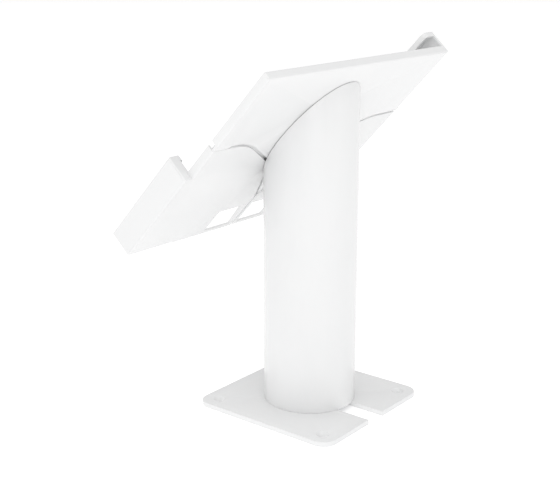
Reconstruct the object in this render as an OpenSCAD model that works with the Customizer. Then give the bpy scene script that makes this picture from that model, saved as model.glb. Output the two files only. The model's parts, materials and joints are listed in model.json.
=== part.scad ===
// Desk stand that holds a card payment terminal or a tablet.
// A steel tube stands on a drilled base plate. Its upper end is cut on a slant, and a sheet-metal
// tray is bolted to a flange inside that end. The tray is an upper back panel with a hooked corner,
// an inner plate, and two lower wings that slide out and down in slots of the inner plate.
// On the left side the upper flanges stand inside the line of the tall wall; the right side is straight.
// Frame: origin at the underside of the base on the tube's axis, +Z up, +Y behind the stand,
// -Y towards the user. Tray coordinates: x across, y uphill, z out of the tray's front.

/* [Base] */
// Width of the base plate, along X
base_w = 134; // [128:1:170]
// Depth of the base plate, along Y
base_d = 134; // [128:1:170]
// Thickness of the base plate
base_t = 4; // [3:0.5:8]
// Corner radius of the base plate
base_r = 12; // [4:1:14]
// Spacing of the four base holes along X
hole_dx = 107; // [102:1:110]
// Spacing of the four base holes along Y
hole_dy = 107; // [102:1:110]
// Diameter of the four base holes
hole_d = 5.5; // [4:0.5:6]
// Diameter of the countersinks
sink_d = 10.5; // [9:0.5:12]
// Width of the cable slot
slot_w = 20; // [14:1:24]

/* [Column] */
// Outside diameter of the tube
tube_d = 76; // [72:1:80]
// Wall of the tube
tube_wall = 2; // [1.5:0.5:3]
// Height of the tray's back plane on the tube's axis
tray_h = 229.5; // [200:0.5:320]
// Tilt of the tray from level
tilt = 47; // [40:1:52]

/* [Tray] */
// Half width over the tall side walls
half_w = 121.5; // [120:0.5:126]
// How far the left side's low flanges stand inside its tall wall
step_w = 7; // [5:0.5:8]
// Distance from the tube's axis to the top edge, uphill
top_y = 74.5; // [74:0.5:84]
// Distance from the tube's axis to the bottom edge, downhill
low_y = 125; // [121:0.5:130]
// Height of the low flanges
low_flange = 6.5; // [6:0.5:8]
// Height of the tall walls
tall_wall = 22.5; // [20:0.5:28]
// Width of the front lips of the wings
lip_w = 13; // [10:1:14]
// Width of the front lip of the hooked corner
hook_lip_w = 15; // [10:1:16]
// Height of the rims that are turned back from the lips
rim_h = 4.5; // [3:0.5:6]
// Length of the hooked corner, down from the top edge
hook_len = 46; // [35:1:65]
// Width of the gap between the back panels
seam = 2.6; // [1.5:0.1:3]
// Travel of each wing along its slots
travel = 15; // [5:1:16]

/* [Hidden] */
$fn = 64;
e = 0.01;                       // sliver that keeps cutters clear of the faces they open
white = "#f2f2f2";
steel = "#b9bcc0";
rubber = "#2c2d2f";

// Column and its fixings
tube_r = tube_d / 2;
bore_r = tube_r - tube_wall;
shadow_gap = 0.3;               // the tube stops this far short of the tray's back
foot_t = 6;                     // ring welded in the foot of the tube
foot_bore_r = 20;
foot_screw_at = 20.5;           // each foot screw's distance from both axes
foot_screw_r = 3;
foot_head_r = 5.6;
foot_grip = 5;                  // how far a foot screw reaches into the ring
foot_socket_r = 2;              // over the corners of its hexagon socket
foot_socket_t = 1.6;
screw_play = 0.3;               // radial room around the foot screws and the panel's studs
head_t = 5;                     // flange welded in the head of the tube
head_screw_x = 22;
head_screw_y = 28;
head_screw_r = 2.45;
head_hole_r = 2.75;
head_thread_r = 2.5;
head_tail = 1.5;                // how far a head screw stands out under the flange
button_r = 4.75;                // its button head
button_top_r = 3.4;
button_t = 2.7;
button_socket_r = 1.75;
button_socket_t = 1.6;
thread_play = 0.05;             // between a screw and the hole that it turns in
cable_r = 15;                   // cable hole through the flange, the panel and the inner plate

// Sheet metal
panel_t = 2;                    // upper panel and inner plate
wing_t = 1.8;                   // wings, 0.2 clear of the inner plate
bend_r = 1.5;                   // outside radius of the tall bends
low_bend_r = 1.2;               // outside radius of the low flanges' bends
low_w = half_w - step_w;
return_h = tall_wall - rim_h;   // end returns of the tall walls reach up to the rims
hook_return_w = 3;
lip_r = 4;                      // rounded uphill end of the lips
wing_wall_y = -32;              // uphill end of the wings' tall walls
bottom_wall_x = 72;             // inner end of the wings' bottom walls
centre_flange = 5;              // flange along each wing's centre edge: height at its uphill end
centre_flange_low = 2.6;        // and at the bottom edge
notch_y = 4.2;                  // lower end of the upper panel's side flanges
tab_x = 99;                     // left of here the panel's lower edge closes up to the wing's
tab_drop = 2.2;
side_room = 0.7;                // between the inner plate and the side flanges
inner_top = top_y - panel_t - 0.5;
inner_low = -88;
inner_r = 6;
inner_z = panel_t;
front_z = inner_z + panel_t;    // front face of the inner plate

// Window in the lower edge of each wing
win_x0 = seam / 2 + 3;
win_x1 = 37;
win_y0 = 3 - low_y;
win_y1 = -95.5;
win_r = 1;

// Middle of the gap between the panels, from the side edge to the bottom, and its corner radii
seam_pts = [[140, 0], [76.5, 0], [21.2, -36.5], [0, -84], [0, -150]];
seam_r = [0, 56, 6, 25, 0];

// Fixings of the tray: stud positions on the left half, mirrored for the right
slide_dir = [cos(-45), sin(-45)];
wing_studs = [[92, -20], [38, -62], [92, -68]];
stud_r = 2.5;
slot_r = 2.8;
washer_r = 6.5;
washer_t = 0.8;
nut_r = 4.6;                    // over the corners of a thin M5 nut
nut_t = 2.2;
nut_bore_r = stud_r + thread_play;
nut_proud = 0.6;                // how far the studs stand out of their nuts
washer_gap = 0.1;
panel_stud_pts = [[94, 50], [60, 14]];
panel_stud_r = 2;
panel_nut_r = 4;
pad_t = 4;                      // rest pads stand higher than the fixings
pad_r = 3;
upper_pad_x = [26, 80];
upper_pad_y = [top_y - 21, top_y - 11];
lower_pad_x = [46, 78];
lower_pad_y = [-46, -36];
thin_pad_t = 2;                 // pads inside the wings' corners
corner_clear = 12;              // from a wing's corner to its pads
wall_clear = 6;                 // from the ends of its walls to its pads
rim_clear = 1;
collar_w = 2.5;                 // of the cable grommet, beyond its barrel
collar_t = 1.5;

// ---- paths ----

function unit(v) = v / norm(v);
function side_of(a, b) = let(d = unit(b - a)) [-d[1], d[0]];

// The path moved sideways by g, towards the left of its direction of travel
function shifted(p, g) = [for (i = [0:len(p) - 1])
    let(n0 = side_of(p[max(i - 1, 0)], p[max(i, 1)]),
        n1 = side_of(p[min(i, len(p) - 2)], p[min(i + 1, len(p) - 1)]))
    p[i] + (n0 + n1) * g / (1 + n0 * n1)];

// The corner at q between p and n as an arc of radius r
function arc_corner(p, q, n, r) = let(
    u = unit(p - q), v = unit(n - q),
    half = acos(u * v) / 2,
    c = q + unit(u + v) * r / sin(half),
    s0 = q + u * r / tan(half) - c,
    s1 = q + v * r / tan(half) - c,
    a0 = atan2(s0[1], s0[0]),
    turn = (atan2(s1[1], s1[0]) - a0 + 540) % 360 - 180,
    steps = 10)
    [for (k = [0:steps]) c + r * [cos(a0 + turn * k / steps), sin(a0 + turn * k / steps)]];

function rounded(p, radii) = [for (i = [0:len(p) - 1])
    each (radii[i] == 0 ? [p[i]] : arc_corner(p[i - 1], p[i], p[i + 1], radii[i]))];

// ---- shared shapes ----

// Moves a shape from tray coordinates to its place on the column
module in_tray() { translate([0, 0, tray_h]) rotate([tilt, 0, 0]) children(); }

module on_side(s) { if (s > 0) children(); else mirror([1, 0, 0]) children(); }

module both_sides() { children(); mirror([1, 0, 0]) children(); }

// Box between two corners
module block(lo, hi) { translate(lo) cube(hi - lo); }

// What a rounded edge removes: the corner is at the origin and the metal is in the +x +y quadrant
module edge_cut(r, length) {
    translate([0, 0, -1]) linear_extrude(length + 2) difference() {
        translate([-1, -1]) square(r + 1);
        translate([r, r]) circle(r);
    }
}

// Edge along y at x = x0, z = z0; sx and sz point into the metal
module edge_along_y(x0, z0, sx, sz, y0, y1, r) {
    translate([x0, y0, z0]) mirror([sx > 0 ? 0 : 1, 0, 0]) mirror([0, 0, sz > 0 ? 0 : 1])
        translate([0, y1 - y0, 0]) rotate([90, 0, 0]) edge_cut(r, y1 - y0);
}

module edge_along_x(y0, z0, sy, sz, x0, x1, r) {
    translate([x0, y0, z0]) mirror([0, sy > 0 ? 0 : 1, 0]) mirror([0, 0, sz > 0 ? 0 : 1])
        rotate([90, 0, 90]) edge_cut(r, x1 - x0);
}

module edge_along_z(x0, y0, sx, sy, z0, z1, r) {
    translate([x0, y0, z0]) mirror([sx > 0 ? 0 : 1, 0, 0]) mirror([0, sy > 0 ? 0 : 1, 0])
        edge_cut(r, z1 - z0);
}

module rounded_rect(x0, y0, x1, y1, r) {
    difference() {
        translate([x0, y0]) square([x1 - x0, y1 - y0]);
        for (c = [[x0, y0, 1, 1], [x1, y0, -1, 1], [x0, y1, 1, -1], [x1, y1, -1, -1]])
            translate([c[0], c[1]]) mirror([c[2] > 0 ? 0 : 1, 0]) mirror([0, c[3] > 0 ? 0 : 1])
                difference() { translate([-1, -1]) square(r + 1); translate([r, r]) circle(r); }
    }
}

// Arm of a lip from the wall at x0 inwards to x1, with a rounded corner at its uphill end y1
module lip_arm(x0, x1, y0, y1, r) {
    difference() {
        translate([x1, y0]) square([x0 - x1, y1 - y0]);
        translate([x1, y1]) mirror([0, 1]) difference() {
            translate([-1, -1]) square(r + 1);
            translate([r, r]) circle(r);
        }
    }
}

// Plan of a wing's two lips; d shrinks their free edges
module wing_lip_plan(d) {
    lip_arm(half_w, half_w - lip_w + d, -low_y, wing_wall_y - d, lip_r - d);
    difference() {
        translate([bottom_wall_x + d, -low_y]) square([half_w - bottom_wall_x - d, lip_w - d]);
        translate([bottom_wall_x + d, lip_w - low_y - d]) mirror([0, 1]) difference() {
            translate([-1, -1]) square(lip_r - d + 1);
            translate([lip_r - d, lip_r - d]) circle(lip_r - d);
        }
    }
}

// Plan of the hooked corner's lip, drawn on the left side; d shrinks its free edges
module hook_lip_plan(d) {
    lip_arm(half_w, half_w - hook_lip_w + d, top_y - hook_len, top_y - d, lip_r - d);
}

// ---- column ----

module base_plate() {
    color(white) difference() {
        linear_extrude(base_t) rounded_rect(-base_w / 2, -base_d / 2, base_w / 2, base_d / 2, base_r);
        // countersunk holes for the screws that hold the stand to a counter
        for (x = [-1, 1], y = [-1, 1]) translate([x * hole_dx / 2, y * hole_dy / 2, 0]) {
            translate([0, 0, -1]) cylinder(d = hole_d, h = base_t + 2);
            translate([0, 0, base_t - (sink_d - hole_d) / 2])
                cylinder(d1 = hole_d, d2 = sink_d + 2 * e, h = (sink_d - hole_d) / 2 + e);
        }
        // cable slot, open at the back edge and rounded at its inner end under the tube
        translate([0, 0, -1]) cylinder(d = slot_w, h = base_t + 2);
        block([-slot_w / 2, 0, -1], [slot_w / 2, base_d / 2 + 1, base_t + 1]);
        // foot screws, countersunk from below
        for (x = [-1, 1], y = [-1, 1]) translate([x * foot_screw_at, y * foot_screw_at, 0]) {
            translate([0, 0, -1]) cylinder(r = foot_screw_r + screw_play, h = base_t + 2);
            translate([0, 0, -e]) cylinder(r1 = foot_head_r + screw_play, r2 = foot_screw_r + screw_play,
                                           h = foot_head_r - foot_screw_r);
        }
    }
}

module column_tube() {
    color(white) difference() {
        translate([0, 0, base_t]) cylinder(r = tube_r, h = tray_h + tube_d, $fn = 128);
        translate([0, 0, base_t - 1]) cylinder(r = bore_r, h = tray_h + tube_d + 2, $fn = 128);
        in_tray() block([-tube_d, -2 * tube_d, -shadow_gap], [tube_d, 2 * tube_d, 3 * tube_d]);
    }
}

module column_foot() {
    color(steel) difference() {
        translate([0, 0, base_t]) cylinder(r = bore_r, h = foot_t, $fn = 128);
        translate([0, 0, base_t - 1]) cylinder(r = foot_bore_r, h = foot_t + 2);
        for (x = [-1, 1], y = [-1, 1]) translate([x * foot_screw_at, y * foot_screw_at, base_t - 1])
            cylinder(r = foot_screw_r + thread_play, h = foot_t + 2);
    }
}

module foot_screws() {
    color(steel) for (x = [-1, 1], y = [-1, 1])
        translate([x * foot_screw_at, y * foot_screw_at, 0]) difference() {
            union() {
                cylinder(r1 = foot_head_r, r2 = foot_screw_r, h = foot_head_r - foot_screw_r);
                cylinder(r = foot_screw_r, h = base_t + foot_grip);
            }
            translate([0, 0, -1]) cylinder(r = foot_socket_r, h = foot_socket_t + 1, $fn = 6);
        }
}

module head_flange() {
    color(steel) intersection() {
        in_tray() difference() {
            block([-tube_d, -tube_d, -head_t], [tube_d, tube_d, 0]);
            translate([0, 0, -head_t - 1]) cylinder(r = cable_r, h = head_t + 2);
            for (x = [-1, 1], y = [-1, 1]) translate([x * head_screw_x, y * head_screw_y, -head_t - 1])
                cylinder(r = head_thread_r, h = head_t + 2);
        }
        translate([0, 0, tray_h - 2 * tube_d]) cylinder(r = bore_r, h = 4 * tube_d, $fn = 128);
    }
}

module head_screws() {
    color(steel) in_tray() for (x = [-1, 1], y = [-1, 1])
        translate([x * head_screw_x, y * head_screw_y, 0]) difference() {
            union() {
                translate([0, 0, -head_t - head_tail])
                    cylinder(r = head_screw_r, h = head_t + head_tail + front_z);
                translate([0, 0, front_z]) cylinder(r1 = button_r, r2 = button_top_r, h = button_t);
            }
            translate([0, 0, front_z + button_t - button_socket_t])
                cylinder(r = button_socket_r, h = button_socket_t + 1, $fn = 6);
        }
}

// ---- tray ----

// Outline of the upper panel: the seam on both sides, running to a point on the centre line
module upper_outline() {
    path = shifted([for (i = [0:3]) seam_pts[i]], -seam / 2);
    edge = rounded(path, [for (i = [0:3]) i < 3 ? seam_r[i] : 0]);
    lower = [for (p = edge) if (p[0] < tab_x && p[0] > 0) p];
    side_y = lower[0][1];
    tip = path[3] + (path[2] - path[3]) * path[3][0] / (path[3][0] - path[2][0]);
    polygon(concat([[low_w, top_y], [low_w, side_y - tab_drop], [tab_x, side_y - tab_drop],
                    [tab_x - tab_drop, side_y]], lower, [tip],
                   [for (i = [len(lower) - 1:-1:0]) [-lower[i][0], lower[i][1]]],
                   [[-half_w, side_y], [-half_w, top_y]]));
}

module upper_panel() {
    hook_y = top_y - hook_len;
    color(white) in_tray() difference() {
        union() {
            linear_extrude(panel_t) upper_outline();
            // low flanges: top edge, left edge, right edge below the hooked corner
            block([-half_w, top_y - panel_t, 0], [low_w, top_y, low_flange]);
            block([low_w - panel_t, notch_y, 0], [low_w, top_y, low_flange]);
            block([-half_w, notch_y, 0], [panel_t - half_w, hook_y, low_flange]);
            // hooked corner: tall wall, end return, lip with its turned-back rim
            block([-half_w, hook_y, 0], [panel_t - half_w, top_y, tall_wall]);
            block([-half_w, top_y - panel_t, 0], [hook_return_w - half_w, top_y, return_h]);
            mirror([1, 0, 0]) {
                translate([0, 0, tall_wall - panel_t]) linear_extrude(panel_t) hook_lip_plan(0);
                translate([0, 0, tall_wall - rim_h]) linear_extrude(rim_h) difference() {
                    hook_lip_plan(0);
                    hook_lip_plan(panel_t);
                }
            }
        }
        // rounded bends
        edge_along_x(top_y, 0, -1, 1, -half_w, low_w, low_bend_r);
        edge_along_y(low_w, 0, -1, 1, notch_y + 1, top_y, low_bend_r);
        edge_along_y(-half_w, 0, 1, 1, notch_y + 1, top_y, bend_r);
        edge_along_y(-half_w, tall_wall, 1, -1, hook_y, top_y, bend_r);
        edge_along_z(-half_w, top_y, 1, -1, 0, tall_wall, low_bend_r);
        edge_along_z(low_w, top_y, -1, -1, 0, low_flange, low_bend_r);
        // holes for the head screws and the cable
        for (x = [-1, 1], y = [-1, 1]) translate([x * head_screw_x, y * head_screw_y, -1])
            cylinder(r = head_hole_r, h = panel_t + 2);
        translate([0, 0, -1]) cylinder(r = cable_r, h = panel_t + 2);
    }
}

module inner_plate() {
    color(white) in_tray() translate([0, 0, inner_z]) difference() {
        linear_extrude(panel_t) rounded_rect(panel_t + side_room - half_w, inner_low,
                                             low_w - panel_t - side_room, inner_top, inner_r);
        translate([0, 0, -1]) cylinder(r = cable_r, h = panel_t + 2);
        for (x = [-1, 1], y = [-1, 1]) translate([x * head_screw_x, y * head_screw_y, -1])
            cylinder(r = head_hole_r, h = panel_t + 2);
        both_sides() for (p = panel_stud_pts) translate([p[0], p[1], -1])
            cylinder(r = panel_stud_r + screw_play, h = panel_t + 2);
        // slots in which the wings' studs slide
        both_sides() for (p = wing_studs) translate([p[0], p[1], -1]) rotate([0, 0, -45]) {
            cylinder(r = slot_r, h = panel_t + 2);
            translate([travel, 0, 0]) cylinder(r = slot_r, h = panel_t + 2);
            translate([0, -slot_r, 0]) cube([travel, 2 * slot_r, panel_t + 2]);
        }
    }
}

module panel_studs() {
    color(steel) in_tray() both_sides() for (p = panel_stud_pts) translate([p[0], p[1], panel_t])
        cylinder(r = panel_stud_r, h = panel_t + nut_t + nut_proud);
}

module panel_nuts() {
    color(steel) in_tray() both_sides() for (p = panel_stud_pts) translate([p[0], p[1], front_z])
        difference() {
            cylinder(r = panel_nut_r, h = nut_t, $fn = 6);
            translate([0, 0, -1]) cylinder(r = panel_stud_r + thread_play, h = nut_t + 2);
        }
}

module cable_grommet() {
    barrel_r = cable_r - thread_play;
    bore = barrel_r - collar_w;
    collar_r = barrel_r + collar_w;
    round_r = collar_t / 2;
    color(rubber) in_tray() rotate_extrude() {
        translate([bore, 0]) square([barrel_r - bore, front_z + collar_t]);
        translate([bore, front_z]) square([collar_r - round_r - bore, collar_t]);
        translate([collar_r - round_r, front_z + round_r]) circle(round_r);
    }
}

// Rubber strip with rounded ends, standing on the inner plate; x and y are its two limits each
module rest_pad(x, y) {
    translate([0, 0, front_z]) linear_extrude(pad_t) rounded_rect(x[0], y[0], x[1], y[1], pad_r);
}

module upper_rest_pads() {
    color(rubber) in_tray() both_sides() rest_pad(upper_pad_x, upper_pad_y);
}

module lower_rest_pads() {
    color(rubber) in_tray() both_sides() rest_pad(lower_pad_x, lower_pad_y);
}

// ---- wings ----

// Outline of a wing; edge_w is where its low flange stands
module wing_outline(edge_w) {
    edge = rounded(shifted(seam_pts, seam / 2), seam_r);
    inside = [for (p = edge) if (p[0] < edge_w && p[1] > -low_y) p];
    last = inside[len(inside) - 1];
    polygon(concat([[edge_w, inside[0][1]]], inside, [[last[0], -low_y], [half_w, -low_y]],
                   edge_w < half_w ? [[half_w, wing_wall_y], [edge_w, wing_wall_y]] : []));
}

module wing(s) {
    top = seam_pts[0][1] - seam / 2;
    edge_w = s > 0 ? low_w : half_w;
    return_z = s > 0 ? 0 : front_z + side_room;     // over the inner plate on the straight side
    in_tray() on_side(s) difference() {
        union() {
            linear_extrude(wing_t) wing_outline(edge_w);
            // low flange beside the upper half, tall side wall with its end return, bottom wall
            block([edge_w - wing_t, wing_wall_y, 0], [edge_w, top, low_flange]);
            block([half_w - wing_t, -low_y, 0], [half_w, wing_wall_y, tall_wall]);
            block([low_w - wing_t, wing_wall_y - wing_t, return_z], [half_w, wing_wall_y, return_h]);
            block([bottom_wall_x, -low_y, 0], [half_w, wing_t - low_y, tall_wall]);
            // stiffening flange along the centre edge, beside the window
            translate([seam / 2, 0, 0]) rotate([90, 0, 90]) linear_extrude(wing_t)
                polygon([[-low_y, 0], [win_y1 + 2, 0], [win_y1 + 2, centre_flange],
                         [-low_y, centre_flange_low]]);
            // lips and their turned-back rims
            translate([0, 0, tall_wall - wing_t]) linear_extrude(wing_t) wing_lip_plan(0);
            translate([0, 0, tall_wall - rim_h]) linear_extrude(rim_h) difference() {
                wing_lip_plan(0);
                wing_lip_plan(wing_t);
            }
        }
        // rounded bends
        edge_along_y(edge_w, 0, -1, 1, wing_wall_y + 1, top, s > 0 ? low_bend_r : bend_r);
        edge_along_y(half_w, 0, -1, 1, -low_y, wing_wall_y, bend_r);
        edge_along_y(half_w, tall_wall, -1, -1, -low_y, wing_wall_y, bend_r);
        edge_along_x(-low_y, 0, 1, 1, bottom_wall_x + 1, half_w, bend_r);
        edge_along_x(-low_y, tall_wall, 1, -1, bottom_wall_x, half_w, bend_r);
        edge_along_z(half_w, -low_y, -1, 1, 0, tall_wall, bend_r);
        edge_along_z(half_w, wing_wall_y, -1, -1, s > 0 ? 0 : low_flange + 1, tall_wall, bend_r);
        // window for a cable
        translate([0, 0, -1]) linear_extrude(wing_t + 2)
            rounded_rect(win_x0, win_y0, win_x1, win_y1, win_r);
    }
}

// Studs welded to a wing, through the slots
module studs(s) {
    in_tray() on_side(s) for (p = wing_studs) translate([p[0], p[1], wing_t])
        cylinder(r = stud_r, h = front_z - wing_t + washer_gap + washer_t + nut_t + nut_proud);
}

module washers(s) {
    in_tray() on_side(s) for (p = wing_studs) translate([p[0], p[1], front_z + washer_gap]) difference() {
        cylinder(r = washer_r, h = washer_t);
        translate([0, 0, -1]) cylinder(r = nut_bore_r, h = washer_t + 2);
    }
}

module nuts(s) {
    in_tray() on_side(s) for (p = wing_studs)
        translate([p[0], p[1], front_z + washer_gap + washer_t]) difference() {
            cylinder(r = nut_r, h = nut_t, $fn = 6);
            translate([0, 0, -1]) cylinder(r = nut_bore_r, h = nut_t + 2);
        }
}

module side_pad(s) {
    in_tray() on_side(s)
        block([half_w - wing_t - thin_pad_t, corner_clear - low_y, low_flange],
              [half_w - wing_t, wing_wall_y - wall_clear, return_h - rim_clear]);
}

module bottom_pad(s) {
    in_tray() on_side(s)
        block([bottom_wall_x + wall_clear, wing_t - low_y, low_flange],
              [half_w - corner_clear, wing_t + thin_pad_t - low_y, return_h - rim_clear]);
}

module left_wing() { color(white) wing(1); }
module left_studs() { color(steel) studs(1); }
module left_washers() { color(steel) washers(1); }
module left_nuts() { color(steel) nuts(1); }
module left_side_pad() { color(rubber) side_pad(1); }
module left_bottom_pad() { color(rubber) bottom_pad(1); }
module right_wing() { color(white) wing(-1); }
module right_studs() { color(steel) studs(-1); }
module right_washers() { color(steel) washers(-1); }
module right_nuts() { color(steel) nuts(-1); }
module right_side_pad() { color(rubber) side_pad(-1); }
module right_bottom_pad() { color(rubber) bottom_pad(-1); }

base_plate();
column_tube();
column_foot();
foot_screws();
head_flange();
head_screws();
upper_panel();
inner_plate();
panel_studs();
panel_nuts();
cable_grommet();
upper_rest_pads();
lower_rest_pads();
left_wing();
left_studs();
left_washers();
left_nuts();
left_side_pad();
left_bottom_pad();
right_wing();
right_studs();
right_washers();
right_nuts();
right_side_pad();
right_bottom_pad();
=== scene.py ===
"""Looks of the counter stand: materials, softened sheet-metal edges, fasteners, camera and studio."""
import json
import math

import bmesh
import bpy
from mathutils import Matrix, Vector


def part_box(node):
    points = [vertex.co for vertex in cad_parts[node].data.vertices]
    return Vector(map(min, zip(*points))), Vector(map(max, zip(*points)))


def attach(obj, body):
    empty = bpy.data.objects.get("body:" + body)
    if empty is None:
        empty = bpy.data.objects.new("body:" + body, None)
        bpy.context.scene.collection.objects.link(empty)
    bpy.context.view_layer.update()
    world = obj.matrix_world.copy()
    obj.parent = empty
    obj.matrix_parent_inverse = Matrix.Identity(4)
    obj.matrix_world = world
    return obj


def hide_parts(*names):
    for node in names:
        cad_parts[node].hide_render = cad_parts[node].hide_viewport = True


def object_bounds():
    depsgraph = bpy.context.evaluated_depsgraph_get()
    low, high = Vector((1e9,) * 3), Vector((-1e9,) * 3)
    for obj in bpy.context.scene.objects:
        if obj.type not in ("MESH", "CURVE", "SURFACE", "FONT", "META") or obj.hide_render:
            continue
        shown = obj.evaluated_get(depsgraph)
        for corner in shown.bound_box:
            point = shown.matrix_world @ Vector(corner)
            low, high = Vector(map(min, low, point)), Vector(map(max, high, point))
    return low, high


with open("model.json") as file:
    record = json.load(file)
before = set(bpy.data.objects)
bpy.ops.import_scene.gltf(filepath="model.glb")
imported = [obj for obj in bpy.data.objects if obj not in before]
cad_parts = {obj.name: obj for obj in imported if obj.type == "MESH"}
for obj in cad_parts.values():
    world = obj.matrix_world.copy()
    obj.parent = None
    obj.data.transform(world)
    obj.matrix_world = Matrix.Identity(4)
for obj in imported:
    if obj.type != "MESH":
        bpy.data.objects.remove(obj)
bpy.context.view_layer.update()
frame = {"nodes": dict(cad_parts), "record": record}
NODES = frame["nodes"]
MM = 0.001

# ---------------------------------------------------------------- camera
CAMERA_PLACE = (0.6652, 0.4981, 0.3733)
CAMERA_YAW = math.radians(38.53)        # turn of the view from -X towards -Y
CAMERA_DROP = math.radians(15.71)       # fall of the view below the horizon
CAMERA_LENS = 68.57                     # millimetres
SENSOR_WIDTH = 36.0                     # millimetres


def make_camera():
    data = bpy.data.cameras.new("camera")
    data.lens = CAMERA_LENS
    data.sensor_width = SENSOR_WIDTH
    camera = bpy.data.objects.new("camera", data)
    level = math.cos(CAMERA_DROP)
    ahead = Vector((-math.cos(CAMERA_YAW) * level, -math.sin(CAMERA_YAW) * level, -math.sin(CAMERA_DROP)))
    camera.location = CAMERA_PLACE
    camera.rotation_mode = "QUATERNION"
    camera.rotation_quaternion = ahead.to_track_quat("-Z", "Y")
    bpy.context.scene.collection.objects.link(camera)
    bpy.context.scene.camera = camera


make_camera()

# ---------------------------------------------------------------- materials
FLOOR_GLOW = 0.28                       # the pale floor is lit from below, as in a light tent
NOISE_LOW, NOISE_HIGH = 0.25, 0.75      # where nearly all of a noise texture's values lie


class Maker:
    """Short calls for building a node material from noise in the object's own space."""

    def __init__(self, name):
        self.material = bpy.data.materials.new(name)
        self.material.use_nodes = True
        self.tree = self.material.node_tree
        self.shader = self.tree.nodes["Principled BSDF"]
        self.place = self.tree.nodes.new("ShaderNodeTexCoord").outputs["Object"]

    def noise(self, size, detail, roughness=0.5):
        """Noise whose grains are about size metres across."""
        node = self.tree.nodes.new("ShaderNodeTexNoise")
        node.inputs["Scale"].default_value = 1.0 / size
        node.inputs["Detail"].default_value = detail
        node.inputs["Roughness"].default_value = roughness
        self.tree.links.new(self.place, node.inputs["Vector"])
        return node.outputs["Fac"]

    def spread(self, value, low, high):
        """Stretches noise, which stays around a half, to low..high."""
        node = self.tree.nodes.new("ShaderNodeMapRange")
        node.inputs["From Min"].default_value = NOISE_LOW
        node.inputs["From Max"].default_value = NOISE_HIGH
        node.inputs["To Min"].default_value = low
        node.inputs["To Max"].default_value = high
        self.tree.links.new(value, node.inputs["Value"])
        return node.outputs["Result"]

    def bump(self, height, depth, strength, below=None):
        """Bump of depth metres; below is another bump that it lies on."""
        node = self.tree.nodes.new("ShaderNodeBump")
        node.inputs["Distance"].default_value = depth
        node.inputs["Strength"].default_value = strength
        self.tree.links.new(height, node.inputs["Height"])
        if below is not None:
            self.tree.links.new(below, node.inputs["Normal"])
        return node.outputs["Normal"]

    def colour(self, value, colour_a, colour_b):
        """Base colour that wanders between two colours with a noise."""
        node = self.tree.nodes.new("ShaderNodeMix")
        node.data_type = "RGBA"
        node.inputs["A"].default_value = (*colour_a, 1.0)
        node.inputs["B"].default_value = (*colour_b, 1.0)
        self.tree.links.new(self.spread(value, 0.0, 1.0), node.inputs["Factor"])
        self.tree.links.new(node.outputs["Result"], self.shader.inputs["Base Color"])

    def roughness(self, value, low, high):
        """Roughness that wanders between two values with a noise."""
        self.tree.links.new(self.spread(value, low, high), self.shader.inputs["Roughness"])

    def relief(self, bump):
        self.tree.links.new(bump, self.shader.inputs["Normal"])

    def fixed(self, **values):
        """Sets the shader's own sockets, named with underscores for spaces."""
        for name, value in values.items():
            self.shader.inputs[name.replace("_", " ")].default_value = value


def powder_coat():
    """White polyester powder coat: fine grain on a slightly wavy film."""
    m = Maker("white_powder_coat")
    m.colour(m.noise(45 * MM, detail=4.0), (0.822, 0.825, 0.828), (0.842, 0.843, 0.843))
    m.roughness(m.noise(1.2 * MM, detail=2.0), 0.21, 0.27)
    wave = m.bump(m.noise(3.5 * MM, detail=2.0), depth=0.03 * MM, strength=0.3)
    grain = m.noise(0.6 * MM, detail=3.0, roughness=0.6)
    m.relief(m.bump(grain, depth=0.01 * MM, strength=0.3, below=wave))
    m.fixed(IOR=1.5, Specular_IOR_Level=0.5)
    return m.material


def zinc():
    """Bright zinc-plated steel: a faint blue cast, uneven gloss and a very fine grain."""
    m = Maker("zinc_steel")
    m.colour(m.noise(3 * MM, detail=4.0), (0.50, 0.52, 0.55), (0.66, 0.67, 0.68))
    m.roughness(m.noise(0.8 * MM, detail=3.0), 0.22, 0.42)
    m.relief(m.bump(m.noise(0.3 * MM, detail=2.0), depth=0.01 * MM, strength=0.5))
    m.fixed(Metallic=1.0)
    return m.material


def rubber():
    """Black rubber with a dusty, finely pitted skin."""
    m = Maker("black_rubber")
    m.colour(m.noise(6 * MM, detail=5.0), (0.022, 0.022, 0.023), (0.045, 0.045, 0.046))
    m.roughness(m.noise(1.5 * MM, detail=3.0), 0.55, 0.75)
    m.relief(m.bump(m.noise(0.5 * MM, detail=3.0), depth=0.04 * MM, strength=0.7))
    return m.material


def floor_paint():
    """Matt white floor that glows a little."""
    m = Maker("floor")
    m.colour(m.noise(400 * MM, detail=3.0), (0.93, 0.93, 0.93), (0.95, 0.95, 0.95))
    m.fixed(Roughness=0.9, Specular_IOR_Level=0.1)
    m.fixed(Emission_Color=(1.0, 1.0, 1.0, 1.0), Emission_Strength=FLOOR_GLOW)
    return m.material


MATERIALS = {"white_powder_coat": powder_coat(), "zinc_steel": zinc(), "black_rubber": rubber()}
SLOTS = {part["node"]: part["material_slot"] for part in frame["record"]["subparts"]}
BODY_OF = {node: body for body, nodes in frame["record"]["behaviour"]["bodies"].items() for node in nodes}


def dress(obj, node):
    """Gives an object the material of a CAD node's slot."""
    obj.data.materials.clear()
    obj.data.materials.append(MATERIALS[SLOTS[node]])


for node_name, node_object in NODES.items():
    dress(node_object, node_name)

# ---------------------------------------------------------------- places
# The tray's axes follow from the two slides, which mirror each other
SLIDES = [Vector(joint["axis"]) for joint in frame["record"]["behaviour"]["joints"]]
ACROSS = Vector((1.0, 0.0, 0.0))
UPHILL = -(SLIDES[0] + SLIDES[1]).normalized()
OUT = ACROSS.cross(UPHILL)
WELD = 0.01 * MM                        # points closer than this are one point
NEAR = 0.1 * MM                         # points closer than this to a height are at that height


def axes(along, across, out):
    """Turns from a piece's own x, y and z to the world."""
    return Matrix((along, across, out)).transposed()


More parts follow.
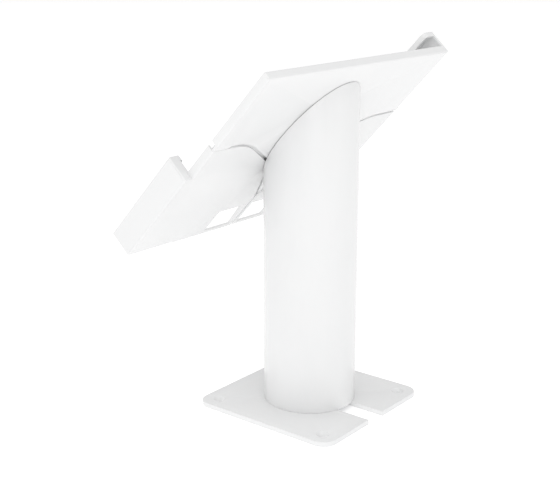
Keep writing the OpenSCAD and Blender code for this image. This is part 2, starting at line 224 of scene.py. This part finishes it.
TRAY = axes(ACROSS, UPHILL, OUT)
LEVEL = Matrix.Identity(3)


def cad_copy(node):
    """The node's mesh with its doubled points merged."""
    bm = bmesh.new()
    bm.from_mesh(NODES[node].data)
    bmesh.ops.remove_doubles(bm, verts=bm.verts, dist=WELD)
    return bm


def solids_of(node):
    """The points of each separate solid of a CAD node."""
    bm = cad_copy(node)
    unseen, found = set(bm.verts), []
    while unseen:
        solid, border = [], [unseen.pop()]
        while border:
            vert = border.pop()
            solid.append(vert.co.copy())
            near = {e.other_vert(vert) for e in vert.link_edges} & unseen
            unseen -= near
            border.extend(near)
        found.append(solid)
    bm.free()
    return sorted(found, key=lambda points: tuple(round(value, 6) for value in min(points)))


class Seat:
    """Where a CAD solid stands, measured along the axes it was made in."""

    def __init__(self, points, turn):
        self.turn = turn
        self.points = [turn.transposed() @ point for point in points]
        self.low = Vector([min(point[k] for point in self.points) for k in range(3)])
        self.high = Vector([max(point[k] for point in self.points) for k in range(3)])
        self.middle = (self.low + self.high) / 2
        self.height = self.high.z - self.low.z
        self.inner = min(self.reach(point) for point in self.points)
        self.outer = max(self.reach(point) for point in self.points)

    def reach(self, point):
        """Distance of a point from the solid's axis."""
        return math.hypot(point.x - self.middle.x, point.y - self.middle.y)

    def radii_at(self, height):
        """Distances from the axis of the points at a height."""
        return [self.reach(point) for point in self.points if abs(point.z - height) < NEAR]

    def on_axis(self):
        """From the solid's own turning frame, zero at its low end, to the world."""
        return self.turn.to_4x4() @ Matrix.Translation((self.middle.x, self.middle.y, self.low.z))


# ---------------------------------------------------------------- mesh makers
CREASE = 30.0                           # degrees; edges that turn more stay crisp in the shading
CUT_EDGE = 28.0                         # degrees; edges that turn more are rounded off
EDGE_SEGMENTS = 3
SHEET_EDGE = 0.35 * MM                  # rounding of the coated sheet-metal edges
TUBE_EDGE = 0.3 * MM                    # rounding of the tube's cut ends
FLAT = math.radians(0.4)                # facets that turn less than this are one face


def settle(bm, node, crease=CREASE):
    """Makes the mesh an object that stands for the node."""
    bmesh.ops.recalc_face_normals(bm, faces=bm.faces)
    mesh = bpy.data.meshes.new(node + "_detail")
    bm.to_mesh(mesh)
    bm.free()
    mesh.shade_smooth()
    mesh.set_sharp_from_angle(angle=math.radians(crease))
    piece = bpy.data.objects.new(mesh.name, mesh)
    bpy.context.scene.collection.objects.link(piece)
    dress(piece, node)
    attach(piece, BODY_OF[node])
    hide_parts(node)


def round_edges(bm, radius):
    """Rounds the cut edges of a closed mesh."""
    edges = [e for e in bm.edges
             if len(e.link_faces) == 2 and e.calc_face_angle(0.0) > math.radians(CUT_EDGE)]
    bmesh.ops.bevel(bm, geom=edges, offset=radius, offset_type="OFFSET", segments=EDGE_SEGMENTS,
                    profile=0.5, affect="EDGES", clamp_overlap=True, harden_normals=False)
    bmesh.ops.triangulate(bm, faces=[f for f in bm.faces if len(f.verts) > 4])


def add_faces(bm, points, faces, place):
    """Adds faces between points, which place takes to world metres."""
    verts = [bm.verts.new(place @ Vector(point)) for point in points]
    for face in faces:
        bm.faces.new([verts[k] for k in face])


def add_turned(bm, rings, place, steps=72, closed=False):
    """Adds the surface through rings of (radius, height), either of which may be a function of the angle.
    A zero radius is a point on the axis; closed joins the last ring to the first."""
    points, faces, rows = [], [], []
    for radius, height in rings:
        if radius == 0:
            rows.append([len(points)] * steps)
            points.append((0.0, 0.0, height))
            continue
        row = []
        for k in range(steps):
            angle = math.tau * k / steps
            r = radius(angle) if callable(radius) else radius
            z = height(angle) if callable(height) else height
            row.append(len(points))
            points.append((r * math.cos(angle), r * math.sin(angle), z))
        rows.append(row)
    pairs = list(zip(rows, rows[1:])) + ([(rows[-1], rows[0])] if closed else [])
    for a, b in pairs:
        for k in range(steps):
            n = (k + 1) % steps
            faces.append(list(dict.fromkeys((a[k], a[n], b[n], b[k]))))
    add_faces(bm, points, faces, place)


# ---------------------------------------------------------------- sheet metal, base and column
def soften(node):
    """Stands for a CAD node with the same shape, its cut edges and bends rounded by the coat."""
    bm = cad_copy(node)
    bmesh.ops.dissolve_limit(bm, angle_limit=FLAT, verts=bm.verts, edges=bm.edges)
    round_edges(bm, SHEET_EDGE)
    settle(bm, node)


def make_column(steps=256):
    """The slant-cut tube, finely divided so that its outline is round."""
    low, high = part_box("column_tube")
    outer = high[0]
    inner = Seat(solids_of("column_tube")[0], LEVEL).inner
    slope = UPHILL.z / UPHILL.y
    axis_top = high[2] - outer * slope

    def cut(radius):
        """Height of the slanted cut at an angle, radius metres from the axis."""
        return lambda angle: axis_top + radius * math.sin(angle) * slope

    bm = bmesh.new()
    add_turned(bm, [(outer, low[2]), (outer, cut(outer)), (inner, cut(inner)), (inner, low[2])],
               LEVEL.to_4x4(), steps, closed=True)
    bmesh.ops.recalc_face_normals(bm, faces=bm.faces)
    round_edges(bm, TUBE_EDGE)
    settle(bm, "column_tube")


for sheet in ("base_plate", "upper_panel", "inner_plate", "left_wing", "right_wing"):
    soften(sheet)
make_column()

# ---------------------------------------------------------------- fasteners
HEXAGON = math.radians(60.0)            # the angle that one side of a hexagon takes up
NUT_CHAMFER = math.tan(math.radians(30.0))      # fall of a nut's face for each metre outwards
NUT_CROWN = 0.98                        # round flat on a nut's face, over the nut's inner radius
THREAD_PITCH = 0.8 * MM
THREAD_DEPTH = 0.42 * MM
SOCKET_CORNER = 0.36                    # a socket's corner radius over its screw head's radius


def hexagon(corner):
    """Radius of a hexagon whose corners are corner metres out, at an angle."""
    flat = corner * math.cos(HEXAGON / 2)
    return lambda angle: flat / math.cos(angle % HEXAGON - HEXAGON / 2)


def make_nuts(node, lead=0.25 * MM):
    """Hexagon nuts with 30 degree chamfers on both faces and the bore's ends countersunk by lead."""
    bm = bmesh.new()
    for points in solids_of(node):
        seat = Seat(points, TRAY)
        h, bore, side = seat.height, seat.inner, hexagon(seat.outer)
        crown = seat.outer * math.cos(HEXAGON / 2) * NUT_CROWN
        add_turned(bm, [(bore + lead, 0.0), (bore, lead), (bore, h - lead), (bore + lead, h),
                        (crown, h), (side, lambda a: h - (side(a) - crown) * NUT_CHAMFER),
                        (side, lambda a: (side(a) - crown) * NUT_CHAMFER), (crown, 0.0)],
                   seat.on_axis(), closed=True)
    settle(bm, node)


def make_washers(node, soft=0.18 * MM):
    """Punched washers: the outer edge is rounded by soft on one face and by less on the other."""
    bm = bmesh.new()
    for points in solids_of(node):
        seat = Seat(points, TRAY)
        h, r, bore = seat.height, seat.outer, seat.inner
        add_turned(bm, [(bore, soft), (bore + soft, 0.0), (r - 0.4 * soft, 0.0), (r, 0.4 * soft),
                        (r, h - soft), (r - 0.3 * soft, h - 0.3 * soft), (r - soft, h),
                        (bore + soft, h), (bore, h - soft)],
                   seat.on_axis(), closed=True)
    settle(bm, node)


def thread(radius, low, high, chamfer=0.5 * MM):
    """Rings of a rod grooved like a thread from low up to high, where its end is chamfered."""
    root, rings, z, end = radius - THREAD_DEPTH, [], low, high - chamfer
    while z + THREAD_PITCH <= end:
        rings += [(root, z), (radius, z + 0.45 * THREAD_PITCH), (radius, z + 0.55 * THREAD_PITCH)]
        z += THREAD_PITCH
    return rings + [(root, z), (radius - 0.1 * MM, end), (radius - 0.55 * MM, high)]


def make_studs(node, flare=0.3 * MM):
    """Threaded weld studs, flared at the foot, with chamfered, slightly dished ends."""
    bm = bmesh.new()
    for points in solids_of(node):
        seat = Seat(points, TRAY)
        r, h = seat.outer, seat.height
        dish = [(0.4 * r, h - 0.1 * MM), (0, h - 0.16 * MM)]
        add_turned(bm, [(0, 0.0), (r, 0.0)] + thread(r, flare, h) + dish, seat.on_axis(), steps=48)
    settle(bm, node)


def socket(head, mouth, floor):
    """Rings of the hexagon socket in a screw head of that radius, from its mouth to its drilled floor."""
    corner = SOCKET_CORNER * head
    chamfer = 0.12 * corner
    return [(corner + chamfer, mouth), (hexagon(corner), mouth - chamfer), (hexagon(corner), floor),
            (0.8 * corner, floor - 0.05 * corner), (0, floor - 0.4 * corner)]


def make_head_screws():
    """Button-head screws with hexagon sockets, threaded below."""
    bm = bmesh.new()
    front = Seat(solids_of("inner_plate")[0], TRAY).high.z
    for points in solids_of("head_screws"):
        seat = Seat(points, TRAY)
        shank = min(seat.radii_at(seat.low.z))
        head = front - seat.low.z                   # height of the head's seat over the screw's end
        cap = seat.height - head
        rim = 0.12 * cap                            # height of the dome's upright edge
        ball = (seat.outer ** 2 + (cap - rim) ** 2) / (2 * (cap - rim))
        dome = [(seat.outer * k, head + cap - ball + math.sqrt(ball ** 2 - (seat.outer * k) ** 2))
                for k in (0.998, 0.97, 0.92, 0.85, 0.76, 0.66, 0.55, 0.45)]
        rod = [(r, head - z) for r, z in thread(shank, 0.8 * MM, head)]
        under = [(shank, head - 0.4 * MM), (shank, head), (seat.outer * 0.96, head),
                 (seat.outer, head + 0.4 * rim)]
        key = socket(seat.outer, mouth=head + 0.86 * cap, floor=head + 0.4 * cap)
        add_turned(bm, [(0, 0.0)] + rod[::-1] + under + dome + key, seat.on_axis())
    settle(bm, "head_screws")


def make_foot_screws():
    """Countersunk socket screws, their heads flush with the underside of the base."""
    bm = bmesh.new()
    for points in solids_of("foot_screws"):
        seat = Seat(points, LEVEL)
        r, h, shank = seat.outer, seat.height, max(seat.radii_at(seat.high.z))
        sink = r - shank                            # height of the 90 degree cone
        key = [(radius, -z) for radius, z in socket(r, mouth=-0.02 * r, floor=-0.3 * r)]
        cone = [(0.97 * r, 0.0), (r, 0.05 * r), (shank, sink), (shank, sink + 0.4 * MM)]
        rod = thread(shank, sink + 0.8 * MM, h)
        add_turned(bm, key[::-1] + cone + rod + [(0, h)], seat.on_axis())
    settle(bm, "foot_screws")


for wing in ("left", "right"):
    make_studs(wing + "_studs")
    make_washers(wing + "_washers")
    make_nuts(wing + "_nuts")
make_studs("panel_studs")
make_nuts("panel_nuts")
make_head_screws()
make_foot_screws()

# ---------------------------------------------------------------- rubber
PAD_SOFT = 0.7 * MM                     # rounding of a pad's upper edge
PAD_STEP = 1.5 * MM                     # length of one facet along a pad
PAD_RIBS = 5
RIB_FACETS = 10                         # facets across one rib


def make_grommet(roll=0.75 * MM, seam=0.06 * MM):
    """Moulded grommet: rolled collar of radius roll, a mould line seam proud of it, and a grooved bore."""
    seat = Seat(solids_of("cable_grommet")[0], TRAY)
    bore, collar, h = seat.inner, seat.outer, seat.height
    barrel = (bore + collar) / 2
    foot = [(bore + 0.3 * MM, 0.0), (barrel - 0.3 * MM, 0.0), (barrel, 0.3 * MM), (barrel, h - 2 * roll)]
    rolled = []
    for degrees in range(-90, 91, 15):
        turn = math.radians(degrees)
        proud = seam if degrees == 0 else 0.0
        radius = collar - roll - seam + (roll + proud) * math.cos(turn)
        rolled.append((radius, h - roll + roll * math.sin(turn)))
    lip = [(bore + 0.9 * MM, h), (bore + 0.35 * MM, h - 0.15 * MM), (bore + 0.08 * MM, h - 0.5 * MM),
           (bore, h - 1.1 * MM)]
    groove = [(bore, 0.55 * h), (bore + 0.2 * MM, 0.5 * h), (bore, 0.45 * h), (bore, 0.3 * MM)]
    bm = bmesh.new()
    add_turned(bm, foot + rolled + lip + groove, seat.on_axis(), steps=128, closed=True)
    settle(bm, "cable_grommet", crease=45.0)


def spaced(count, half, bend):
    """Places from -half to half, closer together where an edge is rounded over the length bend."""
    near = [half - bend * (1 - math.cos(math.radians(degrees))) for degrees in range(0, 91, 10)]
    middle = [-near[-1] + 2 * near[-1] * k / count for k in range(1, count)]
    return [-value for value in near] + middle + near[::-1]


def add_ribbed_strip(bm, size, place, corner, rib_depth):
    """Adds a rubber strip size = (length, width, height) with rounded ends, a soft edge and ribs along it."""
    length, width, height = size
    half_l, half_w = length / 2, width / 2
    rows = spaced(max(int(length / PAD_STEP), 8), half_l, corner)
    cols = [value / half_w for value in spaced(PAD_RIBS * RIB_FACETS, half_w, PAD_SOFT)]
    points, faces = [], []
    for a in rows:
        over = abs(a) - (half_l - corner)
        reach = half_w if over <= 0 else half_w - corner + math.sqrt(max(corner ** 2 - over ** 2, 0.0))
        for share in cols:
            b = share * reach
            inset = min(reach - abs(b), half_l - abs(a))
            drop = PAD_SOFT - math.sqrt(max(PAD_SOFT ** 2 - max(PAD_SOFT - inset, 0.0) ** 2, 0.0))
            fade = min(max((inset - PAD_SOFT) / PAD_SOFT, 0.0), 1.0)
            wave = 0.5 - 0.5 * math.cos(math.tau * PAD_RIBS * (b / width + 0.5))
            points.append((a, b, height - drop - rib_depth * fade * (1.0 - wave) ** 2))
    last_row, across = len(rows) - 1, len(cols)
    for i in range(last_row):
        for k in range(i * across, (i + 1) * across - 1):
            faces.append((k, k + across, k + across + 1, k + 1))
    rim = ([i * across for i in range(last_row + 1)] + [last_row * across + j for j in range(1, across)]
           + [i * across + across - 1 for i in range(last_row - 1, -1, -1)] + list(range(across - 2, 0, -1)))
    start = len(points)
    points += [(points[k][0], points[k][1], 0.0) for k in rim]
    for k in range(len(rim)):
        n = (k + 1) % len(rim)
        faces.append((rim[k], rim[n], start + n, start + k))
    faces.append(range(start, len(points)))
    add_faces(bm, points, faces, place)


def make_pads(node, turn, rib_depth, corner):
    """Ribbed strips; turn goes from along, across and out of each strip to the world."""
    bm = bmesh.new()
    for points in solids_of(node):
        seat = Seat(points, turn)
        add_ribbed_strip(bm, seat.high - seat.low, seat.on_axis(), corner, rib_depth)
    settle(bm, node, crease=40.0)


make_grommet()
for pads in ("upper_rest_pads", "lower_rest_pads"):
    make_pads(pads, TRAY, rib_depth=0.5 * MM, corner=3.0 * MM)
for wing, sign in (("left", 1.0), ("right", -1.0)):
    make_pads(wing + "_side_pad", axes(UPHILL, OUT * sign, -ACROSS * sign),
              rib_depth=0.35 * MM, corner=1.2 * MM)
    make_pads(wing + "_bottom_pad", axes(ACROSS, -OUT, UPHILL), rib_depth=0.35 * MM, corner=1.2 * MM)

# ---------------------------------------------------------------- studio
FLOOR_SIZE = 30.0
ROOM_GLOW = 0.77                        # strength of the white surroundings
AIM = Vector((0.0, 0.0, 0.15))          # where the lights point, about half way up the stand


def make_floor():
    half, low = FLOOR_SIZE / 2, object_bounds()[0].z
    mesh = bpy.data.meshes.new("floor")
    mesh.from_pydata([(-half, -half, low), (half, -half, low), (half, half, low), (-half, half, low)],
                     [], [(0, 1, 2, 3)])
    mesh.materials.append(floor_paint())
    floor = bpy.data.objects.new("floor", mesh)
    bpy.context.scene.collection.objects.link(floor)


def make_softbox(name, place, size, power):
    """Light panel size = (width, height) metres, aimed at the stand."""
    data = bpy.data.lights.new(name, "AREA")
    data.shape = "RECTANGLE"
    data.size, data.size_y = size
    data.energy = power
    light = bpy.data.objects.new(name, data)
    light.location = place
    light.rotation_mode = "QUATERNION"
    light.rotation_quaternion = (AIM - Vector(place)).to_track_quat("-Z", "Y")
    bpy.context.scene.collection.objects.link(light)


def make_studio():
    world = bpy.data.worlds.new("studio")
    bpy.context.scene.world = world
    world.use_nodes = True
    world.node_tree.nodes["Background"].inputs["Color"].default_value = (1.0, 1.0, 1.0, 1.0)
    world.node_tree.nodes["Background"].inputs["Strength"].default_value = ROOM_GLOW
    make_softbox("front", (1.5, 1.1, 0.7), size=(0.9, 0.9), power=3.2)
    make_softbox("top", (0.5, 0.7, 1.9), size=(1.2, 1.2), power=5.0)
    make_softbox("left_strip", (1.9, -0.6, 0.6), size=(0.12, 1.1), power=0.6)
    make_softbox("right_strip", (-0.3, 1.95, 0.6), size=(0.12, 1.1), power=0.4)
    make_softbox("tray", (0.9, -1.6, 1.2), size=(1.2, 0.8), power=3.2)
    bpy.context.scene.view_settings.view_transform = "Standard"


make_floor()
make_studio()
